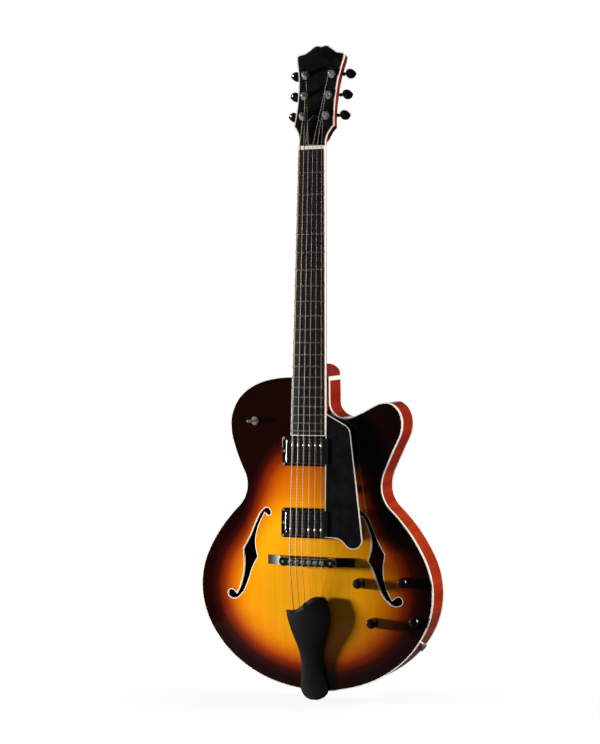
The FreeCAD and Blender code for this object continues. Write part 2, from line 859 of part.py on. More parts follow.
def make_pot(x, z):
    face = top_y(x, z)
    under = face + plate_thickness + 1.6
    can = rod(pot_radius, V(x, under + 8.0, z), V(x, under, z))
    neck = rod(4.7, V(x, under, z), V(x, face - 3.4, z))
    bore = rod(pot_shaft_radius + 0.05, V(x, under + 5.0, z), V(x, face - 10.0, z))
    return can.fuse(neck).removeSplitter().cut(bore)


def hex_nut(radius, bore, height):
    corners = [V(radius * math.cos(k * math.pi / 3), radius * math.sin(k * math.pi / 3), 0)
               for k in range(7)]
    body = Part.Face(Part.makePolygon(corners)).extrude(V(0, 0, height))
    return body.cut(Part.makeCylinder(bore, height + 2, V(0, 0, -1)))


def make_pot_nut(x, z):
    nut = aimed(hex_nut(6.3, 4.7, 3.4), V(x, top_y(x, z) + 1.0, z), FRONT)
    return seated(nut)


switch_face = top_y(switch_x, switch_at)
switch_pivot = V(switch_x, switch_face - 1.6, switch_at)


def make_switch():
    start = V(switch_x, switch_face + plate_thickness + 14.0, switch_at)
    under = switch_face + plate_thickness
    can = box(switch_x - 8, switch_x + 8, under + 1.6, under + 14, switch_at - 11, switch_at + 11)
    barrel = rod(4.4, start, V(switch_x, switch_face - 3.6, switch_at))
    bore = rod(2.5, V(switch_x, switch_face + 4.0, switch_at), V(switch_x, switch_face - 8.0, switch_at))
    mouth = Part.makeCone(2.5, 4.0, 2.6, V(switch_x, switch_face - 1.4, switch_at), FRONT)
    return can.fuse(barrel).removeSplitter().cut(bore).cut(mouth).cut(lever_pin(0.95, 3.7))


def lever_pin(radius, half):
    return rod(radius, switch_pivot - V(0, 0, half), switch_pivot + V(0, 0, half))


def make_switch_nut():
    profile = [(4.4, 0), (6.4, 0), (6.4, 3.4), (5.8, 4.0), (4.4, 4.0)]
    return seated(aimed(turned(profile), V(switch_x, switch_face + 1.0, switch_at), FRONT))


def tilted(profile):
    lean = math.radians(switch_tilt)
    return aimed(turned(profile), switch_pivot, V(-math.sin(lean), -math.cos(lean), 0))


def make_lever():
    ball = Part.makeSphere(2.45, switch_pivot)
    stem = tilted([(0, 0), (1.3, 0), (1.1, 12.0), (0, 12.0)])
    return ball.fuse([stem, lever_pin(0.9, 3.6)]).removeSplitter()


def make_lever_tip():
    return tilted([(1.3, 7.0), (2.6, 8.2), (3.0, 11.0), (2.6, 14.6), (1.4, 16.4), (0, 16.9),
                   (0, 12.0), (1.1, 12.0)])


# Output jack, square to the rim on the lower treble side

def jack_spot():
    half = lower_bout / 2.0
    stations = bezier_stations((0, 0), (ROUND * half, 0), (half, lower_bout_at * (1 - ROUND)),
                               (half, lower_bout_at), 200)
    x, z, dx, dz = stations[int(round(jack_along * 200))]
    return V(x, 0, z), V(dz, 0, -dx).normalize()


jack_point, jack_out = jack_spot()


def make_jack():
    profile = [(jack_bore, 5.5), (5.9, 5.5), (6.6, 4.8), (6.6, 0.3), (5.0, 0.3), (5.0, -rim_wall - 0.8),
               (8.0, -rim_wall - 0.8), (8.0, -26.0), (0, -26.0), (0, -24.0), (jack_bore, -24.0)]
    return aimed(turned(profile), jack_point, jack_out)


# Headstock outline and fittings, built in the head frame

def head_half():
    return [(nut_width / 2.0, 0, 0, 1), (22.2, 9.0, 0.1, 0.99), (24.2, 18.5, 0.4, 0.91),
            (33.3, 32.5, 0.78, 0.63, -0.1, 0.99), (31.9, 46.0, -0.07, 1), (31.0, 74.0, 0, 1),
            (32.0, 100.0, 0.08, 1), (36.4, 128.0, 0.22, 0.97), (39.8, 145.6, 0.1, 0.99),
            (36.2, 150.9, -0.96, 0.25), (28.6, 152.4, -0.97, 0.22), (21.6, 156.4, -0.8, 0.6),
            (13.8, 162.4, -0.8, 0.6), (7.2, head_length + 1.3, -1, 0), (0, head_length, -1, 0)]


def closed_pair(half):
    edges = flat_curve(half)
    pair = edges + [mirrored(edge) for edge in edges]
    first = half[0]
    pair.append(Part.makeLine(V(-first[0], 0, first[1]), V(first[0], 0, first[1])))
    return Part.Wire(Part.__sortEdges__(pair))


head_outline = closed_pair(head_half())
head_inside = head_outline.makeOffset2D(-head_binding)


def in_head(shape):
    return moved(shape, head_frame)


def make_head_binding():
    strip = in_head(ring(head_outline, head_inside, 0, veneer))
    return one_solid(strip.cut(in_neck(box(-60, 60, -60, 60, -60, nut_thickness))))


def tuner_spot(i):
    x, s = post_place(i)
    return FreeCAD.Placement(V(x, 0, s), FreeCAD.Rotation())


def tuner_piece(shape, i):
    side = mirrored(shape) if i < 3 else shape
    return in_head(moved(side, tuner_spot(i)))


gear_radius = gear_teeth * gear_module / 2.0
worm_offset = gear_radius + worm_radius
thread_pitch = math.pi * gear_module
gear_y = head_back + 3.2
worm_y = gear_y + gear_width / 2.0


def make_post():
    foot = gear_y + gear_width + 0.4
    profile = [(0, -foot), (2.2, -foot), (2.2, -gear_y), (post_radius, -gear_y), (post_radius, 3.2),
               (post_waist, 3.8), (post_waist, 8.0), (post_radius, 8.6), (post_radius, post_height - 0.6),
               (post_radius - 0.6, post_height), (0, post_height)]
    post = aimed(turned(profile), V(0, 0, 0), FRONT)
    return post.cut(rod(0.9, V(-6, -6.6, 0), V(6, -6.6, 0)))


def make_gear():
    tip, root = gear_radius + 0.9 * gear_module, gear_radius - 1.2 * gear_module
    points = []
    for k in range(gear_teeth):
        middle = math.pi / 2 + (k + 0.5) * 2 * math.pi / gear_teeth
        for radius, half in ((root, 0.36), (tip, 0.17), (tip, -0.17), (root, -0.36)):
            angle = middle - half / radius
            points.append(V(radius * math.cos(angle), 0, radius * math.sin(angle)))
    disc = prism(Part.makePolygon(points + points[:1]), gear_y, gear_y + gear_width)
    return disc.cut(rod(2.2, V(0, gear_y - 1, 0), V(0, gear_y + gear_width + 1, 0)))


def make_worm():
    core, tip = 1.45, worm_radius + 0.5
    helix = Part.makeHelix(thread_pitch, 4 * thread_pitch, core)
    profile = [V(core - 0.3, 0, -0.42), V(tip, 0, -0.17), V(tip, 0, 0.17), V(core - 0.3, 0, 0.42)]
    thread = Part.Wire(helix).makePipeShell([Part.makePolygon(profile + profile[:1])], True, True)
    thread.translate(V(0, 0, -2 * thread_pitch))
    reach = button_start + button_length
    stem = turned([(0, -6.4), (1.2, -6.4), (1.2, -5.0), (core, -5.0), (core, 5.0), (shaft_radius, 5.0),
                   (shaft_radius, 10.6), (2.9, 11.2), (2.9, 13.6), (shaft_radius, 13.6),
                   (shaft_radius, reach - 4.0), (0, reach - 4.0)])
    worm = stem.fuse(thread)
    frame = FreeCAD.Placement(V(0, worm_y, worm_offset), FreeCAD.Rotation(V(0, 1, 0), 90))
    return one_solid(moved(worm, frame))


def make_button():
    far, wide = button_length, button_height / 2.0
    edges = flat_curve([(0, 2.4, 0.2, 0.98), (0.42 * far, wide, 1, 0), (far, 0, 0.4, -0.92)])
    edges.append(Part.makeLine(V(far, 0, 0), V(0, 0, 0)))
    edges.append(Part.makeLine(V(0, 0, 0), V(0, 0, 2.4)))
    egg = Part.Face(Part.Wire(edges)).revolve(V(0, 0, 0), X_AXIS, 360)
    flatten = FreeCAD.Matrix()
    flatten.scale(1, button_depth / button_height, 1)
    knob = egg.transformGeometry(flatten)
    knob.rotate(V(0, 0, 0), X_AXIS, 90 - button_turn)
    knob.translate(V(button_start, worm_y, worm_offset))
    reach = button_start + button_length - 4.0
    shaft = rod(shaft_radius, V(0, worm_y, worm_offset), V(reach, worm_y, worm_offset))
    return one_solid(knob.cut(shaft))


def make_housing():
    y0, y1 = head_back, head_back + 9.8
    shell = box(-7.4, 7.0, y0, y1, -6.4, 10.2)
    shell = shell.makeFillet(2.4, upright_edges(shell))
    ear = rod(3.2, V(0, y0, -9.4), V(0, y0 + 2.2, -9.4)).fuse(box(-3.2, 3.2, y0, y0 + 2.2, -9.4, -6.0))
    shell = shell.fuse(ear).removeSplitter()
    cavity = [rod(gear_radius + 0.9, V(0, gear_y - 0.3, 0), V(0, gear_y + gear_width + 0.7, 0)),
              rod(post_radius + 0.05, V(0, y0 - 1, 0), V(0, gear_y, 0)),
              rod(worm_radius + 0.8, V(-5.2, worm_y, worm_offset), V(5.2, worm_y, worm_offset)),
              rod(1.25, V(-6.6, worm_y, worm_offset), V(0, worm_y, worm_offset)),
              rod(shaft_radius + 0.05, V(0, worm_y, worm_offset), V(12, worm_y, worm_offset)),
              rod(1.2, V(0, y0 - 1, -9.4), V(0, y0 + 5, -9.4))]
    for hole in cavity:
        shell = shell.cut(hole)
    return one_solid(shell)


def make_tuner_screw():
    profile = [(0, -7.5), (1.2, -6.5), (1.2, 2.2), (2.1, 2.2), (1.7, 3.1), (0, 3.4)]
    return aimed(turned(profile), V(0, head_back, -9.4), V(0, 1, 0))


def make_bushing():
    bore = post_radius + 0.05
    tube = turned([(bore, -9.0), (bushing_radius, -9.0), (bushing_radius, 0), (6.4, 0), (6.4, 0.8),
                   (bore, 0.8)])
    flange = hex_nut(6.0, bore, 2.0)
    flange.translate(V(0, 0, 0.8))
    return aimed(tube.fuse(flange).removeSplitter(), V(0, 0, 0), FRONT)


def head_holes():
    holes = []
    for i in range(6):
        x, s = post_place(i)
        holes.append(rod(bushing_radius, V(x, -5, s), V(x, 9.0, s)))
        holes.append(rod(post_radius + 0.3, V(x, 8, s), V(x, 30, s)))
        holes.append(rod(1.2, V(x, head_back - 6.5, s - 9.4), V(x, head_back + 5, s - 9.4)))
        holes.append(Part.makeCone(0.0, 1.2, 1.0, V(x, head_back - 7.5, s - 9.4), V(0, 1, 0)))
    return holes


# Truss rod under the board, its nut in a pocket behind the bone nut

rod_y = board_thickness + 5.0
rod_radius = 2.6
nut_pocket = 24.0
rod_end = joint_distance - 22.0


def make_truss_rod():
    bar = rod(rod_radius, V(0, rod_y, -rod_end), V(0, rod_y, nut_thickness + 14.0))
    cap = rod(3.6, V(0, rod_y, nut_thickness + 6.0), V(0, rod_y, nut_thickness + 17.0))
    return in_neck(bar.fuse(cap).removeSplitter())


def truss_channel():
    return in_neck(rod(rod_radius, V(0, rod_y, -rod_end), V(0, rod_y, nut_thickness + 10.0)))


def truss_pocket():
    return in_head(box(-4.6, 4.6, -2, rod_y + 2.6, 2.0, nut_pocket))


def make_truss_cover():
    half = [(10.5, 2.0, 0, 1), (10.5, 36.0, 0, 1), (8.4, 42.6, -0.65, 0.76), (0, 51.0, -0.77, 0.64)]
    cover = prism(closed_pair(half), -1.8, 0.0)
    edges = [edge for edge in cover.Edges if edge.BoundBox.YMax < -1.7]
    return in_head(cover.makeChamfer(0.9, edges))


# Neck shaft, heel and headstock core

def neck_section(d, depth):
    half = board_half(d)
    bow = Part.Arc(Part.Ellipse(V(0, board_thickness, -d), half, depth), 0, math.pi).toShape()
    return Part.Wire([bow, Part.makeLine(V(-half, board_thickness, -d), V(half, board_thickness, -d))])


def make_heel():
    half = board_half(joint_distance)
    low = body_length
    under = neck_point(0, board_thickness, joint_distance).y
    back = front_y + heel_depth
    oval = Part.Ellipse(V(back, low, 0), V(under, low + heel_top, 0), V(under, low, 0))
    bow = Part.Arc(oval, 0, math.pi / 2).toShape()
    side = Part.Wire([bow, Part.makeLine(V(under, low + heel_top, 0), V(under, low, 0)),
                      Part.makeLine(V(under, low, 0), V(back, low, 0))])
    block = Part.Face(side).extrude(V(0, 0, 2 * half))
    block.translate(V(0, 0, -half))
    upright = FreeCAD.Rotation(V(0, 1, 0), V(0, 0, 1), X_AXIS, "XYZ")
    block = moved(block, FreeCAD.Placement(V(0, 0, 0), upright))
    plan = box(-half, half, under - 5, back, low - 5, low + 2 * heel_top)
    ends = [edge for edge in plan.Edges if edge.BoundBox.ZLength > 1 and edge.CenterOfMass.y > back - 0.01]
    return block.common(plan.makeFillet(heel_corner, ends))


def half_oval(s, half, depth):
    bow = Part.Arc(Part.Ellipse(V(0, veneer, s), half, depth), 0, math.pi).toShape()
    return Part.Wire([bow, Part.makeLine(V(-half, veneer, s), V(half, veneer, s))])


def make_head_core():
    core = prism(head_outline, veneer, head_back)
    half = nut_width / 2.0 + 0.5
    ovals = [half_oval(-12.0, half, head_thickness), half_oval(7.0, half, head_thickness),
             half_oval(28.0, 2.2 * half, 2.2 * head_thickness)]
    scoop = Part.makeLoft(ovals, True, True)
    return core.cut(box(-60, 60, veneer, 60, -12.0, 28.0).cut(scoop))


def make_tongue():
    slab = in_neck(taper_prism(joint_distance - 20, board_length - 2.0, 1.5, board_thickness, 40))
    slab = slab.common(box(-60, 60, -100, 100, 0, body_length))
    return seated(slab)


def make_tenon():
    half = tenon_width / 2.0
    return box(-half, half, front_y + 7, back_y - 10, body_length - tenon_length, body_length + 4)


def make_neck():
    shaft = Part.makeLoft([neck_section(-nut_thickness - 20.0, neck_depth_nut - 3.0),
                           neck_section(-nut_thickness, neck_depth_nut),
                           neck_section(joint_distance - 8.0, neck_depth_heel)], True, True)
    pieces = [in_head(make_head_core()), make_heel(), make_tongue(), make_tenon()]
    neck = in_neck(shaft).fuse(pieces).removeSplitter()
    above_head = in_head(box(-60, 60, -60, veneer, -1.5, 200))
    neck = neck.cut(above_head.cut(in_neck(box(-60, 60, -60, 60, -60, nut_thickness))))
    neck = neck.cut(in_neck(box(-60, 60, -60, board_thickness, -600, nut_thickness)))
    for hole in head_holes():
        neck = neck.cut(in_head(hole))
    return one_solid(neck.cut(truss_channel()).cut(truss_pocket()))


# Fretboard with its binding, frets and nut

def crown_rod(extra):
    radius = board_radius + extra
    return Part.makeCylinder(radius, board_length + 60, V(0, board_radius, -board_length - 30), V(0, 0, 1))


def fret_distance(n):
    return scale_length * (1.0 - 2.0 ** (-n / 12.0))


def fret_profile_solid(points, d, half):
    wide = 2 * math.degrees(math.asin(half / board_radius))
    wire = Part.makePolygon([V(0, y, z - d) for y, z in points + points[:1]])
    solid = Part.Face(wire).revolve(V(0, board_radius, 0), V(0, 0, 1), wide)
    solid.rotate(V(0, board_radius, 0), V(0, 0, 1), -wide / 2.0)
    return solid


def fret_tang(n):
    d = fret_distance(n)
    half = board_half(d) - board_binding - 0.8
    return fret_profile_solid([(-0.2, -0.3), (1.8, -0.3), (1.8, 0.3), (-0.2, 0.3)], d, half)


def make_fret(n):
    d = fret_distance(n)
    w, h = fret_width / 2.0, fret_height
    crown = [(0, -w), (-0.5 * h, -0.92 * w), (-0.86 * h, -0.55 * w), (-h, 0), (-0.86 * h, 0.55 * w),
             (-0.5 * h, 0.92 * w), (0, w)]
    head = fret_profile_solid(crown, d, board_half(d) - 0.5)
    return in_neck(head.fuse(fret_tang(n)).removeSplitter())


def make_board():
    whole = taper_prism(0, board_length, 0, 0, board_thickness).common(crown_rod(0))
    inside = taper_prism(-5, board_length - board_binding, board_binding, -5, board_thickness + 5)
    core = whole.common(inside).cut(group([fret_tang(n) for n in range(1, fret_count + 1)]))
    return in_neck(one_solid(core)), in_neck(one_solid(whole.cut(inside)))


def make_nut():
    half = nut_width / 2.0
    block = box(-half, half, -3, board_thickness, 0, nut_thickness).common(crown_rod(2.2))
    block = in_neck(block)
    for i in range(6):
        aim = (nut_string(i) - saddle_string(i)).normalize()
        slot = rod(gauges[i] / 2.0 + 0.04, nut_string(i) - aim * 9.0, nut_string(i) + aim * 3.0)
        wide = gauges[i] / 2.0 + 0.04
        x = nut_string(i).x
        floor = x * x / (2 * board_radius) - nut_clearance - gauges[i] / 2.0
        gap = in_neck(box(x - wide, x + wide, -8, floor, -1, nut_thickness + 1))
        block = block.cut(slot).cut(gap)
    return one_solid(block)


# Guard in the plane of the fretboard

def rounded_loop(corners):
    edges = []
    count = len(corners)
    ends = []
    for k in range(count):
        x, z, radius = corners[k]
        here = V(x, 0, z)
        before = (V(corners[k - 1][0], 0, corners[k - 1][1]) - here).normalize()
        after = (V(corners[(k + 1) % count][0], 0, corners[(k + 1) % count][1]) - here).normalize()
        cut = radius / math.tan(before.getAngle(after) / 2.0)
        ends.append((here + before * cut, here, here + after * cut, radius))
    for k in range(count):
        start, apex, end, radius = ends[k]
        if radius > 0:
            edges.append(arc_edge(start, apex, end))
        edges.append(Part.makeLine(end, ends[(k + 1) % count][0]))
    return Part.Wire(edges)


def guard_loop():
    local = []
    for x, z, radius in guard_corners:
        local.append((x, (z - nut_origin.z) / math.cos(pitch), radius))
    return rounded_loop(local)


def guard_notches():
    return group([pickup_bounds(d, cover_length + 1.4, cover_width + 1.4, -20, 40)
                  for d in (neck_pickup_at, bridge_pickup_at)])


def leaned(shape):
    # The guard leans about its edge at the strings, down to the treble side like the arch under it
    out = shape.copy()
    out.rotate(V(guard_inner_x, guard_drop, 0), V(0, 0, 1), guard_tilt)
    return out


def make_guard():
    loop = guard_loop()
    inner = loop.makeOffset2D(-guard_binding)
    y0, y1 = guard_drop, guard_drop + guard_thickness
    sheet = prism(inner, y0, y1).cut(guard_notches())
    edge = ring(loop, inner, y0, y1).cut(guard_notches())
    return in_neck(leaned(one_solid(sheet))), group([in_neck(leaned(solid)) for solid in edge.Solids])


def make_stand_offs():
    blocks = []
    for x, z in ((56.0, 385.0), (60.0, 315.0)):
        d = (nut_origin.z - z) / math.cos(pitch)
        post = rod(5.0, V(x, guard_drop + guard_thickness, -d), V(x, 50, -d))
        blocks.append(seated(in_neck(leaned(post))))
    return blocks


# Body pieces: plates in two halves glued on the centre line, sides in three ribs

def bass_side():
    return box(-lower_bout, 0, -2 * rim_depth, 2 * rim_depth, 0, body_length)


def plate(slab, cuts):
    body = slab.common(prism(inset(rim_wall + glue_line), -100, 100))
    for cutter in cuts:
        body = body.cut(cutter)
    bass = bass_side()
    return group([one_solid(body.common(bass)), one_solid(body.cut(bass))])


def top_cuts():
    cuts = both_sides(prism(f_cut, front_y - 40, front_y + 40))
    for d in (neck_pickup_at, bridge_pickup_at):
        cuts += pickup_routes(d)
    cuts += [rod(4.7, V(x, 0, z), V(x, front_y - 40, z)) for x, z in knob_places]
    cuts.append(rod(4.4, V(switch_x, 0, switch_at), V(switch_x, front_y - 40, switch_at)))
    return cuts


def edge_ring(y, start, width):
    return ring(inset(start) if start else outline, inset(start + width), y, y + plate_thickness)


def make_ribs():
    wall = ring(outline, inset(rim_wall), front_y + plate_thickness, back_y - plate_thickness)
    wall = wall.cut(make_tenon()).cut(tail_screw()).cut(make_strip())
    wall = wall.cut(rod(5.0, jack_point - jack_out * 20, jack_point + jack_out * 20))
    bass = bass_side()
    cutaway = box(0, horn_tip_x, -rim_depth, rim_depth, body_length - 1.5 * horn_side_down, body_length)
    ribs = [wall.common(bass), wall.cut(bass).cut(cutaway), wall.common(cutaway)]
    return [one_solid(rib) for rib in ribs]


def make_strip():
    x = cutaway_wall_x
    inner = front_y + plate_thickness
    return box(x - 1.6, x, inner, -inner, body_length - 6.4, body_length)


def block_rooms():
    return [box(-48, cutaway_wall_x + 5, -100, 100, body_length - 45, body_length),
            box(-36, 36, -100, 100, 0, 30)]


def make_blocks():
    hollow = prism(inset(rim_wall), front_y + 2, back_y - 2)
    neck_room, tail_room = block_rooms()
    blocks = [hollow.common(neck_room).cut(make_tenon()), hollow.common(tail_room).cut(tail_screw())]
    return [one_solid(block.cut(top_slab).cut(back_slab)) for block in blocks]


def make_linings():
    strips = []
    near = front_y + plate_thickness + 0.2
    for y in (near, -near - lining_height):
        strip = ring(inset(rim_wall), inset(rim_wall + lining_width), y, y + lining_height)
        for room in block_rooms():
            strip = strip.cut(room)
        strips += strip.Solids
    return strips


def make_tone_bars():
    y_low = front_y + plate_thickness + tone_bar_depth - top_arch
    bars = []
    for sign in (-1, 1):
        x = sign * tone_bar_x
        bar = box(x - tone_bar_width / 2.0, x + tone_bar_width / 2.0, front_y - 30, y_low, 70, 385)
        bar = bar.cut(top_surface.toShape().extrude(V(0, -60, 0))).cut(top_slab)
        bars.append(one_solid(bar))
    return bars


# Wiring: the lead from the pots to the jack

def make_wiring():
    x2, z2 = knob_places[2]
    jack_end = jack_point - jack_out * 26.0
    can_y = top_y(x2, z2) + plate_thickness + 9.6
    start = V(x2, can_y, z2)
    path = [Part.makeLine(start, start + V(0, 4, 0))]
    path += biarc(start + V(0, 4, 0), V(0, 1, 0), jack_end - jack_out * 4.0, jack_out)
    path.append(Part.makeLine(jack_end - jack_out * 4.0, jack_end))
    section = Part.Wire([Part.Circle(start, V(0, 1, 0), 1.4).toShape()])
    return Part.Wire(path).makePipeShell([section], True, False)


# Build and save every node

save("top_plate", plate(top_slab, top_cuts()))
save("back_plate", plate(back_slab, []))
plate_levels = (front_y, back_y - plate_thickness)
save("body_bindings", group([edge_ring(y, 0, binding_width) for y in plate_levels] + [make_strip()]))
save("purfling", group([edge_ring(y, binding_width, purfling_width) for y in plate_levels]))
save("f_hole_bindings", group(make_f_bindings()))
save("rim", group(make_ribs()))
save("end_blocks", group(make_blocks()))
save("linings", group(make_linings()))
save("tone_bars", group(make_tone_bars()))

save("neck", make_neck())
save("truss_rod", make_truss_rod())
save("truss_rod_cover", make_truss_cover())
headplate = in_head(prism(head_inside, 0, veneer)).cut(truss_pocket())
save("headplate", headplate.cut(group([in_head(hole) for hole in head_holes()])))
board, board_edge = make_board()
save("fretboard", board)
save("neck_bindings", group([board_edge, make_head_binding()]))
save("frets", group([make_fret(n) for n in range(1, fret_count + 1)]))
save("nut", make_nut())

save("bridge_base", make_bridge_base())
post_ends = [(bridge_spot(sign, base_top - 4.5), bridge_spot(sign, bar_top - 1.5)) for sign in (-1, 1)]
save("bridge_posts", group([rod(bridge_post_radius, low, high) for low, high in post_ends]))
save("thumbwheel_bass", make_wheel(-1))
save("thumbwheel_treble", make_wheel(1))
save("bridge_bar", make_bar())
save("saddles", group([make_saddle(i) for i in range(6)]))
save("saddle_screws", group([make_saddle_screw(i) for i in range(6)]))

save("tailpiece", make_tailpiece())
save("tail_screw", tail_screw())

pickups = (neck_pickup_at, bridge_pickup_at)
save("pickup_rings", group([make_ring(d) for d in pickups]))
save("pickup_covers", group([in_neck(make_cover(d)) for d in pickups]))
save("pickup_coils", group([in_neck(coil) for d in pickups for coil in make_coils(d)]))
save("pickup_bases", group([in_neck(make(d)) for d in pickups for make in (make_magnet, make_base_plate)]))
save("pickup_pole_screws", group([screw for d in pickups for screw in make_poles(d)]))
save("pickup_screws", group([in_neck(screw) for d in pickups for screw in pickup_screws(d)]))

for number, (x, z) in enumerate(knob_places, 1):
    save("knob_%d" % number, group([make_knob(x, z), make_pot_shaft(x, z)]))
save("potentiometers", group([make(x, z) for x, z in knob_places for make in (make_pot, make_pot_nut)]))
save("toggle_switch", group([make_switch(), make_switch_nut()]))
save("switch_lever", group([make_lever(), make_lever_tip()]))
save("output_jack", make_jack())
save("wiring", make_wiring())

sheet, sheet_edge = make_guard()
save("pickguard", sheet)
save("pickguard_binding", sheet_edge)
save("pickguard_blocks", group(make_stand_offs()))

post, gear, worm, button = make_post(), make_gear(), make_worm(), make_button()
for i in range(6):
    save("tuner_post_%d" % (i + 1), group([tuner_piece(post, i), tuner_piece(gear, i)]))
    save("tuner_key_%d" % (i + 1), group([tuner_piece(worm, i), tuner_piece(button, i)]))
save("tuner_housings", group([tuner_piece(make_housing(), i) for i in range(6)]))
save("tuner_bushings", group([tuner_piece(make_bushing(), i) for i in range(6)]))
save("tuner_screws", group([tuner_piece(make_tuner_screw(), i) for i in range(6)]))
save("strings", group([string_solid(i) for i in range(6)]))

print("least gap between turns of a string, mm:", min(least_turn_gap(i) for i in range(6)))
for i in range(6):
    x, s = post_place(i)
    out = -1 if i < 3 else 1
    key = head_point(x + out * 10.0, worm_y, s + worm_offset)
    axis = head_frame.Rotation.multVec(V(out, 0, 0))
    up = head_frame.Rotation.multVec(FRONT)
    print("tuner", i + 1, "key", tuple(key), tuple(axis), "post", tuple(head_point(x, 0, s)), tuple(up))
print("jack", tuple(jack_point), tuple(jack_out), "switch", tuple(switch_pivot))
for x, z in knob_places:
    print("knob", x, top_y(x, z), z)
print("nut", tuple(nut_origin), "bridge levels", level(base_top), level(bar_bottom), level(bar_top))
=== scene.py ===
import math

import bmesh
import bpy
from mathutils import Matrix, Vector


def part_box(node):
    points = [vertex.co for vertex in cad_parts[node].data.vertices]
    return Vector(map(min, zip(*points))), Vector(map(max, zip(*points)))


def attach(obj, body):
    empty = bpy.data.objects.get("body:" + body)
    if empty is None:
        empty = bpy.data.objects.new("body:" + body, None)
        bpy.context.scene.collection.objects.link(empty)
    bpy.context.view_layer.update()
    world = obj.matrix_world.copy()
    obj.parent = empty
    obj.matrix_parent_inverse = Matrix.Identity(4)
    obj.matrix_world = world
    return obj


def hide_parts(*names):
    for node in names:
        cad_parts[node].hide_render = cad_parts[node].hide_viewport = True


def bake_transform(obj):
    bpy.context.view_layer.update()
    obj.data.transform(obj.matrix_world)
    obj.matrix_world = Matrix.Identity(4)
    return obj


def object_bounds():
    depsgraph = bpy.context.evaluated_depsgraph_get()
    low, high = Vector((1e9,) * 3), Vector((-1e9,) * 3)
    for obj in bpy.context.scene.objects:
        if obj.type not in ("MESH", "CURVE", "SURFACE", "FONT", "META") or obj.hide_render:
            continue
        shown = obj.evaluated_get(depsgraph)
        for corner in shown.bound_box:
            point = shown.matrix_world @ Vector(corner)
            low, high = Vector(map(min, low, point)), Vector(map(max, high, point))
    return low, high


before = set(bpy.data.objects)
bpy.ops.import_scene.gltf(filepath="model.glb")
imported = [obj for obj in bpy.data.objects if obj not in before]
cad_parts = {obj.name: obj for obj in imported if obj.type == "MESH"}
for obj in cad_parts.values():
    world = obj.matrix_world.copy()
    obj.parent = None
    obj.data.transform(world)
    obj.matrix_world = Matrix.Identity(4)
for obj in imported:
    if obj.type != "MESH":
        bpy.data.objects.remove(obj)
cad_low, cad_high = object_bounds()


# The rim: two strips of flamed maple, bent over a hot iron and glued to the blocks at head and tail.
# Red-brown lacquer is sprayed a little lighter where a bout swells, and the figure shows through it
# as bands across the strip. Polished lacquer gives sharp, dark reflections.

millimetre = 0.001
lacquer = {"Roughness": 0.07, "IOR": 1.5}
rim_flame = (18 * millimetre, 320 * millimetre, 18 * millimetre)
rim_swell = 250 * millimetre
rim_contrast = (0.7, 1.35)
rim_reds = ((0.0, "#7a1a0c"), (1.0, "#bd3d10"), (0.5, "#98260f"))


def linear(hex_colour):
    """An sRGB hex colour as linear red, green, blue and alpha."""
    parts = [int(hex_colour[i:i + 2], 16) / 255 for i in (1, 3, 5)]
    return [p / 12.92 if p <= 0.04045 else ((p + 0.055) / 1.055) ** 2.4 for p in parts] + [1.0]


def add(tree, kind, inputs=(), stops=(), **settings):
    """One node with its settings, its socket values or links, and the stops of a colour ramp."""
    node = tree.nodes.new(kind)
    for name, value in settings.items():
        setattr(node, name, value)
    for socket, value in dict(inputs).items():
        if isinstance(value, bpy.types.NodeSocket):
            tree.links.new(value, node.inputs[socket])
        else:
            node.inputs[socket].default_value = value
    for number, (place, colour) in enumerate(stops):
        ramp = node.color_ramp.elements
        stop = ramp[number] if number < 2 else ramp.new(place)
        stop.position = place
        stop.color = linear(colour)
    return node


def start_finish(name, sockets):
    """A new material, its node tree, its shader and the object coordinates that its pattern reads."""
    material = bpy.data.materials.new(name)
    material.use_nodes = True
    tree = material.node_tree
    shader = tree.nodes["Principled BSDF"]
    for socket, value in sockets.items():
        shader.inputs[socket].default_value = value
    place = add(tree, "ShaderNodeTexCoord").outputs["Object"]
    return material, tree, shader, place


def streaks(tree, place, streak, detail=2.0, blend=0.5, turn=0.0):
    """A pattern of soft streaks, each of them as long along X, Y and Z as the streak given."""
    drawn = add(tree, "ShaderNodeMapping", {
        "Vector": place, "Rotation": (0.0, turn, 0.0), "Scale": [1 / size for size in streak],
    })
    noise = add(tree, "ShaderNodeTexNoise", {
        "Vector": drawn.outputs["Vector"], "Scale": 1.0, "Detail": detail, "Roughness": blend,
    })
    return noise.outputs["Fac"]


def dress(material, *names):
    """Gives CAD nodes this material."""
    for name in names:
        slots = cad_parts[name].data.materials
        slots.clear()
        slots.append(material)


rim_lacquer, tree, shader, place = start_finish("lacquered_flamed_maple_rim", lacquer)
figure = streaks(tree, place, rim_flame, blend=0.4)
swells = streaks(tree, place, [rim_swell] * 3, detail=0.0)
shares = add(tree, "ShaderNodeMath", {0: figure, 1: swells}, operation="ADD")
level = add(tree, "ShaderNodeMapRange", {
    "Value": shares.outputs[0], "From Min": rim_contrast[0], "From Max": rim_contrast[1],
})
colour = add(tree, "ShaderNodeValToRGB", {"Fac": level.outputs["Result"]}, rim_reds)
tree.links.new(colour.outputs["Color"], shader.inputs["Base Color"])
dress(rim_lacquer, "rim")


# Blocks, linings and tone bars: bare spruce and mahogany, glued inside and never lacquered.
# Sawn and planed only, so they are pale, dull and lined along the grain.

bare_grain = (4 * millimetre, 4 * millimetre, 208.3 * millimetre)  # Coarser than real, so that it shows.
bare_colours = ((0.0, "#a9824f"), (1.0, "#d9bd8b"))


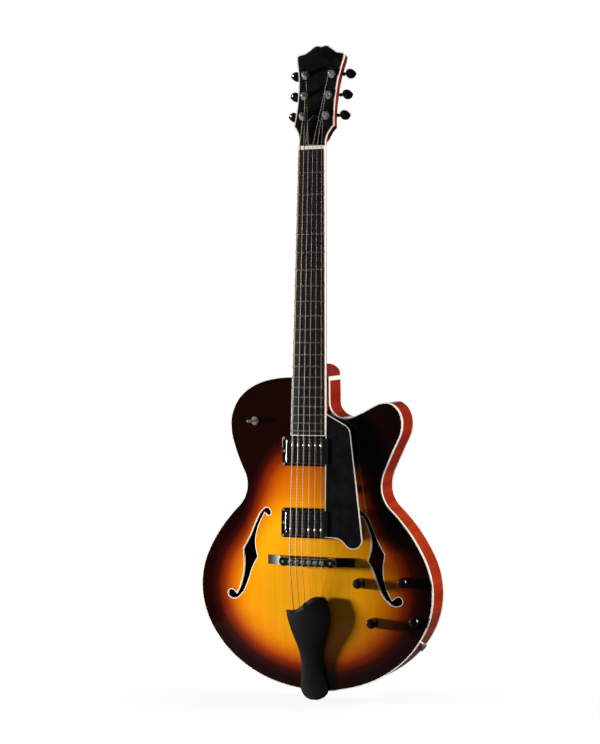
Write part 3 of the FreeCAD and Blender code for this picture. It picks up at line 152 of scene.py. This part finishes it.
def plain_finish(name, pieces, sockets, streak, stops, detail=2.0, blend=0.5, roughness=None):
    """Dresses pieces in a finish whose colour, and roughness where two are given, follow one pattern."""
    material, tree, shader, place = start_finish(name, sockets)
    pattern = streaks(tree, place, streak, detail, blend)
    colour = add(tree, "ShaderNodeValToRGB", {"Fac": pattern}, stops)
    tree.links.new(colour.outputs["Color"], shader.inputs["Base Color"])
    if roughness:
        shine = add(tree, "ShaderNodeMapRange", {
            "Value": pattern, "To Min": roughness[0], "To Max": roughness[1],
        })
        tree.links.new(shine.outputs["Result"], shader.inputs["Roughness"])
    dress(material, *pieces)
    return tree, shader, pattern


plain_finish(
    "bare_planed_spruce", ["end_blocks", "linings", "tone_bars"], {"Roughness": 0.7},
    bare_grain, bare_colours, detail=3.0,
)


# The top: two book-matched boards, joined on the centreline and carved to an arch.
# The sunburst is amber stain with red and near-black sprayed in from the edge, so it follows two
# soft ovals, a wide one below the bridge and a narrow one above it. Clear lacquer is polished over it.

any_depth = 100.0
spray_low_centre = (0.0, 0.0, 0.157)
spray_low_reach = (0.146, any_depth, 0.117)
spray_high_centre = (0.0, 0.0, 0.276)
spray_high_reach = (0.098, any_depth, 0.112)
spray_high_strength = 0.565
spray_edge = 4.4
burst_stops = (
    (0.0, "#170503"), (1.0, "#fba90f"), (0.09, "#190402"), (0.19, "#3c0a04"), (0.33, "#8b2a04"),
    (0.48, "#c65c04"), (0.62, "#e27e03"), (0.76, "#f39404"),
)
top_grain = (4.4 * millimetre, 4.4 * millimetre, 333.3 * millimetre)  # Coarser than real, so that it shows.
top_flame = (119 * millimetre, 119 * millimetre, 23.33 * millimetre)
top_contrast = (0.6, 1.4)
top_tones = (0.86, 1.0)
seam_width = 0.8 * millimetre
# The right half is painted a little darker: a painted shade, as its grain throws less light back.
right_half_painted_shade = 0.9


def from_centre(tree, place, centre, reach):
    """How far a place is from the centre of an oval, with 1 on the oval itself."""
    oval = add(tree, "ShaderNodeMapping", {
        "Vector": place, "Location": centre, "Scale": reach,
    }, vector_type="TEXTURE")
    distance = add(tree, "ShaderNodeVectorMath", {0: oval.outputs["Vector"]}, operation="LENGTH")
    return distance.outputs["Value"]


def book_matched(tree, place):
    """The place on a board that is opened like a book, so that both halves mirror each other."""
    axes = add(tree, "ShaderNodeSeparateXYZ", {"Vector": place})
    opened = add(tree, "ShaderNodeMath", {0: axes.outputs["X"]}, operation="ABSOLUTE")
    matched = add(tree, "ShaderNodeCombineXYZ", {"X": opened.outputs[0], "Z": axes.outputs["Z"]})
    return matched.outputs["Vector"]


def shade(tree, shader, colour, *shares):
    """Scales a colour by each of the shares and gives it to the shader."""
    for share in shares:
        scaled = add(tree, "ShaderNodeVectorMath", {0: colour, "Scale": share}, operation="SCALE")
        colour = scaled.outputs["Vector"]
    tree.links.new(colour, shader.inputs["Base Color"])


burst_lacquer, tree, shader, place = start_finish("lacquered_sunburst_top", lacquer)
sprays = []
for centre, reach in ((spray_low_centre, spray_low_reach), (spray_high_centre, spray_high_reach)):
    distance = from_centre(tree, place, centre, reach)
    edge = add(tree, "ShaderNodeMath", {0: distance, 1: spray_edge}, operation="POWER")
    thin = add(tree, "ShaderNodeMath", {0: edge.outputs[0], 1: -1.0}, operation="MULTIPLY")
    sprays.append(add(tree, "ShaderNodeMath", {0: thin.outputs[0]}, operation="EXPONENT"))
amber = add(tree, "ShaderNodeMath", {
    0: sprays[1].outputs[0], 1: spray_high_strength, 2: sprays[0].outputs[0],
}, operation="MULTIPLY_ADD")
colour = add(tree, "ShaderNodeValToRGB", {"Fac": amber.outputs[0]}, burst_stops)
matched = book_matched(tree, place)
grain = streaks(tree, matched, top_grain)
figure = streaks(tree, matched, top_flame, detail=1.0)
wood = add(tree, "ShaderNodeMath", {0: grain, 1: figure}, operation="ADD")
tone = add(tree, "ShaderNodeMapRange", {
    "Value": wood.outputs[0], "From Min": top_contrast[0], "From Max": top_contrast[1],
    "To Min": top_tones[0], "To Max": top_tones[1],
})
# Painted shade: the right half of the top is darker than the left.
axes = add(tree, "ShaderNodeSeparateXYZ", {"Vector": place})
half = add(tree, "ShaderNodeMapRange", {
    "Value": axes.outputs["X"], "From Min": -seam_width / 2, "From Max": seam_width / 2,
    "To Min": 1.0, "To Max": right_half_painted_shade,
})
shade(tree, shader, colour.outputs["Color"], tone.outputs["Result"], half.outputs["Result"])
dress(burst_lacquer, "top_plate")


# The back: two boards of flamed maple, book-matched and carved to an arch like that of the top.
# The same red-brown lacquer as the rim, sprayed darker towards the edge. The inner face is left raw,
# and painted almost black: a painted shade for the unlit inside, where it shows through the f-holes.

back_centre = (0.0, 0.0, 0.215)
back_reach = (0.21, any_depth, 0.27)
back_stops = ((0.0, "#9c3a16"), (1.0, "#3a0d08"), (0.55, "#8a2713"), (0.8, "#601710"))
back_flame = (138.9 * millimetre, 138.9 * millimetre, 15 * millimetre)
back_lean = math.radians(12)
back_contrast = (0.3, 0.7)
back_tones = (0.72, 1.25)
# Where the back faces inward it is painted dark, a painted shade.
inner_slopes = (-0.2, 0.0)
inner_painted_shade = 0.12


def painted_facing_shade(tree, axis, slopes, darkest):
    """A painted shade: 1 where the surface faces along an axis, falling to the darkest as it turns away."""
    facing = add(tree, "ShaderNodeNewGeometry").outputs["Normal"]
    axes = add(tree, "ShaderNodeSeparateXYZ", {"Vector": facing})
    share = add(tree, "ShaderNodeMapRange", {
        "Value": axes.outputs[axis], "From Min": slopes[0], "From Max": slopes[1],
        "To Min": darkest, "To Max": 1.0,
    })
    return share.outputs["Result"]


back_lacquer, tree, shader, place = start_finish("lacquered_flamed_maple_back", lacquer)
distance = from_centre(tree, place, back_centre, back_reach)
colour = add(tree, "ShaderNodeValToRGB", {"Fac": distance}, back_stops)
figure = streaks(tree, book_matched(tree, place), back_flame, turn=back_lean)
tone = add(tree, "ShaderNodeMapRange", {
    "Value": figure, "From Min": back_contrast[0], "From Max": back_contrast[1],
    "To Min": back_tones[0], "To Max": back_tones[1],
})
# Painted shade: the inner face is darkened.
outer = painted_facing_shade(tree, "Y", inner_slopes, inner_painted_shade)
shade(tree, shader, colour.outputs["Color"], tone.outputs["Result"], outer)
dress(back_lacquer, "back_plate")


# Bindings: strips of grained celluloid, glued in a rebate round the edges and scraped flush.
# Ivory coloured, with lines like those of ivory, under the same polished lacquer.

plastic_index = 1.5
ivory_line = (4 * millimetre, 4 * millimetre, 370.4 * millimetre)  # Coarser than real, so that it shows.
ivory_colours = ((0.0, "#f3ead3"), (1.0, "#fffcf2"))

plain_finish(
    "grained_ivory_celluloid",
    ["body_bindings", "f_hole_bindings", "neck_bindings", "pickguard_binding"],
    {"Roughness": 0.18, "IOR": plastic_index}, ivory_line, ivory_colours,
)


# Black plastic: the purfling line, knobs, tuner buttons and pickup rings.
# Moulded, then buffed, so it is glossy with a faint unevenness left by the buffing wheel.

buff_mark = 6 * millimetre
black_colours = ((0.3, "#070707"), (0.7, "#121213"))
buttons = ["tuner_key_%d" % number for number in range(1, 7)]
knobs = ["knob_%d" % number for number in range(1, 5)]

plain_finish(
    "buffed_black_plastic", ["purfling", "pickup_rings", *knobs, *buttons], {"IOR": plastic_index},
    [buff_mark] * 3, black_colours, detail=3.0, roughness=(0.10, 0.24),
)


# The neck: one length of maple, carved with its heel and headstock and glued into the neck block.
# Stained and lacquered red-brown like the sides, with the grain running along it. What faces down,
# under the ears of the headstock and at the foot of the heel, is painted almost black: a painted shade.

neck_grain = (8 * millimetre, 8 * millimetre, 142.9 * millimetre)  # Coarser than real, so that it shows.
neck_colours = ((0.25, "#6a1a10"), (0.75, "#94291a"))
# Faces turned down are painted darker, a painted shade.
under_slopes = (-0.3, -0.1)
under_painted_shade = 0.1

neck_lacquer, tree, shader, place = start_finish("lacquered_maple_neck", lacquer)
grain = streaks(tree, place, neck_grain)
colour = add(tree, "ShaderNodeValToRGB", {"Fac": grain}, neck_colours)
shade(tree, shader, colour.outputs["Color"], painted_facing_shade(tree, "Z", under_slopes, under_painted_shade))
dress(neck_lacquer, "neck")


# Ebony: close-grained, almost black wood with open pores along the grain.
# The fretboard is rubbed with oil, and planed in long flats between its slots. The tailpiece and the
# guard's blocks are darker billets, carved and polished, and the bridge base has a softer sheen.

ebony_index = 1.5
# Coarser than real, so that it shows.
ebony_grain = (3.5 * millimetre, 3.5 * millimetre, 156.25 * millimetre)
pore_depth = 0.2 * millimetre
pore_strength = 0.15
board_ebony = ((0.25, "#110f0d"), (0.8, "#2c2725"), (0.6, "#1b1716"))
dark_ebony = ((0.25, "#090807"), (0.8, "#1a1716"), (0.6, "#110f0e"))
ebony_finishes = (
    ("oiled_ebony", ["fretboard"], board_ebony, (0.34, 0.24)),
    ("rubbed_ebony", ["bridge_base"], dark_ebony, (0.46, 0.38)),
    ("polished_ebony", ["tailpiece", "pickguard_blocks"], dark_ebony, (0.3, 0.22)),
)

for name, pieces, stops, roughness in ebony_finishes:
    tree, shader, grain = plain_finish(
        name, pieces, {"IOR": ebony_index}, ebony_grain, stops, detail=4.0, blend=0.6, roughness=roughness,
    )
    pores = add(tree, "ShaderNodeBump", {
        "Height": grain, "Strength": pore_strength, "Distance": pore_depth,
    })
    tree.links.new(pores.outputs["Normal"], shader.inputs["Normal"])
    if "fretboard" in pieces:
        flats = add(tree, "ShaderNodeNewGeometry").outputs["True Normal"]
        tree.links.new(flats, pores.inputs["Normal"])


# Headstock face and guard: thin sheet faced in black and polished by hand.
# The one is glued down on the headstock, the other stands clear of the top on two blocks.

polish_mark = 16.67 * millimetre
sheet_colours = ((0.3, "#0d0c0d"), (0.7, "#1a1718"))

plain_finish(
    "polished_black_sheet", ["headplate", "pickguard"], {"IOR": plastic_index},
    [polish_mark] * 3, sheet_colours, detail=4.0, roughness=(0.14, 0.26),
)


# The truss rod cover: black, white and black plastic sheet in three plies, cut to a bell.
# Its front edge is filed to a bevel, which lays the white ply bare as a thin line.

cover_thickness = 3.1 * millimetre
white_ply = (0.31 * millimetre, 0.806 * millimetre)
ply_black = "#0a0a0a"
ply_white = "#a7a39a"
ply_stops = (
    (0.0, ply_black), (1.0, ply_black),
    (white_ply[0] / cover_thickness, ply_white), (white_ply[1] / cover_thickness, ply_black),
)
front_slope = -0.9

cover_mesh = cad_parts["truss_rod_cover"].data
faces = [face for face in cover_mesh.polygons if face.normal.y < front_slope]
cover_normal = max(faces, key=lambda face: face.area).normal.copy()
cover_face = max(point.co.dot(cover_normal) for point in cover_mesh.vertices)

three_ply, tree, shader, place = start_finish(
    "three_ply_plastic_sheet", {"Roughness": 0.25, "IOR": plastic_index}
)
depth = add(tree, "ShaderNodeVectorMath", {0: place, 1: cover_normal}, operation="DOT_PRODUCT")
under = add(tree, "ShaderNodeMath", {0: cover_face, 1: depth.outputs["Value"]}, operation="SUBTRACT")
plies = add(tree, "ShaderNodeMapRange", {"Value": under.outputs[0], "From Max": cover_thickness})
colour = add(tree, "ShaderNodeValToRGB", {"Fac": plies.outputs["Result"]}, ply_stops)
colour.color_ramp.interpolation = "CONSTANT"
tree.links.new(colour.outputs["Color"], shader.inputs["Base Color"])
dress(three_ply, "truss_rod_cover")


# The nut: a bar of bone, sawn, slotted for the six strings and polished.
# Pale and slightly streaked, it is held by a drop of glue and the pull of the strings.

bone_streak = 3.333 * millimetre
bone_colours = ((0.3, "#e9e2d2"), (0.7, "#fbf7ec"))

plain_finish(
    "polished_bone", ["nut"], {"Roughness": 0.3, "IOR": 1.54}, [bone_streak] * 3, bone_colours
)


# Nickel plate: tuners, saddles, thumbwheels, bridge posts, switch, jack and screws.
# Bright plating over brass and steel, with hairline wear and a little haze that break up its shine.

wear_mark = 2.5 * millimetre
nickel_colours = ((0.3, "#a8a49b"), (0.7, "#d6d2c8"))
posts = ["tuner_post_%d" % number for number in range(1, 7)]
nickel_pieces = [
    "tuner_bushings", "tuner_housings", "tuner_screws", "saddles", "saddle_screws",
    "thumbwheel_bass", "thumbwheel_treble", "bridge_posts", "toggle_switch", "switch_lever",
    "output_jack", "pickup_pole_screws", "pickup_screws", "tail_screw", *posts,
]

plain_finish(
    "bright_nickel_plate", nickel_pieces, {"Metallic": 0.7},
    [wear_mark] * 3, nickel_colours, detail=3.0, roughness=(0.14, 0.34),
)


# Frets: drawn nickel-silver wire with a barbed tang, hammered into the slots of the fretboard.
# Filed level, crowned and rubbed with steel wool, so duller than plate.

wool_mark = 2 * millimetre
fret_colours = ((0.3, "#7d7973"), (0.7, "#9c978f"))

plain_finish(
    "rubbed_nickel_silver", ["frets"], {"Metallic": 1.0, "Roughness": 0.38},
    [wool_mark] * 3, fret_colours,
)


# Black nickel: the drawn pickup cans and the cast bar of the bridge.
# The plating is polished like a dark mirror, in which the strings show again.

can_mark = 4 * millimetre
can_colours = ((0.3, "#8f8b89"), (0.7, "#a8a4a0"))

plain_finish(
    "polished_black_nickel", ["pickup_covers", "bridge_bar"], {"Metallic": 1.0},
    [can_mark] * 3, can_colours, detail=3.0, roughness=(0.06, 0.14),
)


# Hidden metal: the truss rod, the pickups' base plates and magnets, and the potentiometer cans.
# Bare rolled steel, never polished, let into the neck or hung under the top.

roll_mark = 2.5 * millimetre
steel_colours = ((0.3, "#77787a"), (0.7, "#a5a6a7"))

plain_finish(
    "rolled_steel", ["truss_rod", "pickup_bases", "potentiometers"],
    {"Metallic": 1.0, "Roughness": 0.4}, [roll_mark] * 3, steel_colours,
)


# Pickup coils: some kilometres of enamelled copper wire, wound on two bobbins for each pickup.
# Seen only when a cover comes off.

coil_turn = 1.111 * millimetre  # Coarser than real, so that it shows.
copper_colours = ((0.3, "#7a3417"), (0.7, "#b4622c"))

plain_finish(
    "enamelled_copper_wire", ["pickup_coils"], {"Metallic": 1.0, "Roughness": 0.35},
    [coil_turn] * 3, copper_colours, detail=1.0,
)


# Wiring: one shielded lead in a dull black rubber sleeve.
# It runs inside the body from a potentiometer to the output jack.

sleeve_mark = 2 * millimetre
sleeve_colours = ((0.3, "#141414"), (0.7, "#242322"))

plain_finish(
    "dull_rubber_sleeve", ["wiring"], {"Roughness": 0.75}, [sleeve_mark] * 3, sleeve_colours
)


# The strings: steel cores, the lower ones wound with nickel wire, pulled tight over nut and saddles.
# Each is cut at the nut and at its saddle; only the stretch at the head is attached to the guitar.

scene = bpy.context.scene
wrap_pitch = 5.03 * millimetre  # Coarser than real, so that it shows.
wave_at_scale_one = math.pi / 10
string_colours = ((0.3, "#8f8878"), (0.7, "#b8b09f"))
same_point = 1e-6

string_steel, tree, shader, place = start_finish(
    "nickel_wound_steel", {"Metallic": 0.55, "Roughness": 0.6}
)
wraps = add(tree, "ShaderNodeTexWave", {
    "Vector": place, "Scale": wave_at_scale_one / wrap_pitch, "Distortion": 0.0,
}, bands_direction="Z")
colour = add(tree, "ShaderNodeValToRGB", {"Fac": wraps.outputs["Fac"]}, string_colours)
tree.links.new(colour.outputs["Color"], shader.inputs["Base Color"])

saddle_low, saddle_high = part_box("saddles")
saddle_plane = (saddle_low.z + saddle_high.z) / 2
nut_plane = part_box("nut")[0].z


def string_stretch(name, low, high):
    """The stretch of every string between two heights, cut from the CAD strings."""
    shape = bmesh.new()
    shape.from_mesh(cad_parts["strings"].data)
    bmesh.ops.remove_doubles(shape, verts=shape.verts, dist=same_point)
    for height, side in ((low, -1), (high, 1)):
        if height is not None:
            bmesh.ops.bisect_plane(
                shape, geom=shape.verts[:] + shape.edges[:] + shape.faces[:], plane_co=(0, 0, height),
                plane_no=(0, 0, side), clear_outer=True,
            )
    mesh = bpy.data.meshes.new(name)
    shape.to_mesh(mesh)
    shape.free()
    mesh.shade_smooth()
    mesh.materials.append(string_steel)
    piece = bpy.data.objects.new(name, mesh)
    scene.collection.objects.link(piece)
    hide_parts("strings")
    return piece


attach(string_stretch("strings_at_head", nut_plane, None), "guitar")
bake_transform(string_stretch("strings_over_board", saddle_plane, nut_plane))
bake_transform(string_stretch("strings_to_tail", None, saddle_plane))


# The stage: a plain pale floor that takes a soft shadow. To the lens and through glass it is white,
# more so away from the guitar, where it runs into the backdrop. In reflections the strip of it before
# the backdrop is white. The rest throws little light back, so that lacquer and shadows keep their depth.

floor_drop = 4 * millimetre
floor_half = 0.5
floor_level = cad_low.z - floor_drop
floor_colours = ((0.0, "#333333"), (1.0, "#f4f4f4"))
full_white = linear("#ffffff")
shadow_reach = 0.45
shadow_share = 0.12
backdrop_bearing = math.radians(-23.5)
backdrop_way = (math.sin(backdrop_bearing), math.cos(backdrop_bearing), 0.0)
backdrop_strip = (0.35, 0.5)


def white_share(tree, seen, mirrored_share):
    """1 to the lens and through glass, and in a reflection the share that is mirrored white."""
    mirrored = add(tree, "ShaderNodeMath", {
        0: seen.outputs["Is Glossy Ray"], 1: mirrored_share,
    }, operation="MULTIPLY")
    direct = add(tree, "ShaderNodeMath", {
        0: seen.outputs["Is Camera Ray"], 1: seen.outputs["Is Transmission Ray"],
    }, operation="MAXIMUM")
    share = add(tree, "ShaderNodeMath", {
        0: direct.outputs[0], 1: mirrored.outputs[0],
    }, operation="MAXIMUM")
    return share.outputs[0]


paper, tree, shader, place = start_finish("white_floor", {"Roughness": 0.9})
seen = add(tree, "ShaderNodeLightPath")
colour = add(tree, "ShaderNodeValToRGB", {"Fac": seen.outputs["Is Camera Ray"]}, floor_colours)
tree.links.new(colour.outputs["Color"], shader.inputs["Base Color"])
behind = add(tree, "ShaderNodeVectorMath", {0: place, 1: backdrop_way}, operation="DOT_PRODUCT")
strip = add(tree, "ShaderNodeMapRange", {
    "Value": behind.outputs["Value"], "From Min": backdrop_strip[0], "From Max": backdrop_strip[1],
}, interpolation_type="SMOOTHSTEP")
away = add(tree, "ShaderNodeVectorMath", {0: place}, operation="LENGTH")
share = add(tree, "ShaderNodeMapRange", {
    "Value": away.outputs["Value"], "From Max": shadow_reach, "To Min": 1 - shadow_share, "To Max": 1.0,
}, interpolation_type="SMOOTHSTEP")
whiteness = add(tree, "ShaderNodeMath", {
    0: white_share(tree, seen, strip.outputs["Result"]), 1: share.outputs["Result"],
}, operation="MULTIPLY")
white = add(tree, "ShaderNodeEmission", {"Color": full_white, "Strength": 1.0})
mixed = add(tree, "ShaderNodeMixShader", {
    0: whiteness.outputs[0], 1: shader.outputs["BSDF"], 2: white.outputs["Emission"],
})
tree.links.new(mixed.outputs["Shader"], tree.nodes["Material Output"].inputs["Surface"])

shape = bmesh.new()
bmesh.ops.create_grid(shape, x_segments=1, y_segments=1, size=floor_half)
bmesh.ops.translate(shape, verts=shape.verts, vec=(0.0, 0.0, floor_level))
mesh = bpy.data.meshes.new("floor")
shape.to_mesh(mesh)
shape.free()
mesh.materials.append(paper)
floor = bpy.data.objects.new("floor", mesh)
scene.collection.objects.link(floor)


# The backdrop: white to the lens and through glass on every side, and white in a reflection only
# where it hangs, behind the guitar. The rest of the room is dim, so that the lacquer keeps its depth.

backdrop_edge = (0.955, 0.985)
room_colour = "#f3f9ff"
room_level = 0.08
room_mirrored = 0.025

world = bpy.data.worlds.new("backdrop_and_dim_room")
world.use_nodes = True
tree = world.node_tree
room = tree.nodes["Background"]
room.inputs["Color"].default_value = linear(room_colour)
direction = add(tree, "ShaderNodeTexCoord").outputs["Generated"]
facing = add(tree, "ShaderNodeVectorMath", {0: direction, 1: backdrop_way}, operation="DOT_PRODUCT")
hung = add(tree, "ShaderNodeMapRange", {
    "Value": facing.outputs["Value"], "From Min": backdrop_edge[0], "From Max": backdrop_edge[1],
}, interpolation_type="SMOOTHSTEP")
seen = add(tree, "ShaderNodeLightPath")
dimness = add(tree, "ShaderNodeMapRange", {
    "Value": seen.outputs["Is Glossy Ray"], "To Min": room_level, "To Max": room_mirrored,
})
tree.links.new(dimness.outputs["Result"], room.inputs["Strength"])
backdrop = add(tree, "ShaderNodeBackground", {"Color": full_white, "Strength": 1.0})
mixed = add(tree, "ShaderNodeMixShader", {
    0: white_share(tree, seen, hung.outputs["Result"]),
    1: room.outputs["Background"], 2: backdrop.outputs["Background"],
})
tree.links.new(mixed.outputs["Shader"], tree.nodes["World Output"].inputs["Surface"])
scene.world = world


# Light: a small soft box far round on the left rakes the arch and throws long shadows to the right.
# A tall one behind right lights the rim. Only the dim room fills the shadows.
# Each row has azimuth and rise in degrees, distance, width and height in metres, and power in watts.

body_centre = Vector((0.0, 0.0, 0.3))
soft_boxes = (
    ("left_soft_box", -70.0, 1.0, 2.4, 0.34, 0.34, 151.0),
    ("right_soft_box", 108.0, 24.0, 2.2, 0.5, 1.2, 60.0),
)
for name, azimuth, rise, reach, width, height, power in soft_boxes:
    lamp = bpy.data.lights.new(name, "AREA")
    lamp.shape = "RECTANGLE"
    lamp.size = width
    lamp.size_y = height
    lamp.energy = power
    box = bpy.data.objects.new(name, lamp)
    turn = math.radians(azimuth)
    lift = math.radians(rise)
    away = Vector((math.sin(turn) * math.cos(lift), -math.cos(turn) * math.cos(lift), math.sin(lift)))
    box.location = body_centre + away * reach
    box.rotation_euler = away.to_track_quat("Z", "Y").to_euler()
    scene.collection.objects.link(box)


# The camera: a long lens at chest height, to the right of the guitar and almost level.
# Its place and turn were solved from the fret rule, the width of the nut and the body's outline.

view_target = Vector((-0.019318, -0.026, 0.491697))
view_azimuth = math.radians(23.491)
view_rise = math.radians(2.128)
view_roll = math.radians(-0.743)
view_distance = 2.98345
image_height = 744
focal_pixels = 1942.0
sensor = 36.0

back = Vector((
    math.sin(view_azimuth) * math.cos(view_rise),
    -math.cos(view_azimuth) * math.cos(view_rise),
    math.sin(view_rise),
))
level_right = Vector((0.0, 0.0, 1.0)).cross(back).normalized()
level_up = back.cross(level_right)
right = level_right * math.cos(view_roll) + level_up * math.sin(view_roll)
up = level_up * math.cos(view_roll) - level_right * math.sin(view_roll)
lens = bpy.data.cameras.new("camera")
lens.sensor_width = sensor
lens.lens = focal_pixels / image_height * sensor
camera = bpy.data.objects.new("camera", lens)
turned = Matrix((right, up, back)).transposed().to_4x4()
turned.translation = view_target + back * view_distance
camera.matrix_world = turned
scene.collection.objects.link(camera)
scene.camera = camera
scene.view_settings.view_transform = "Standard"
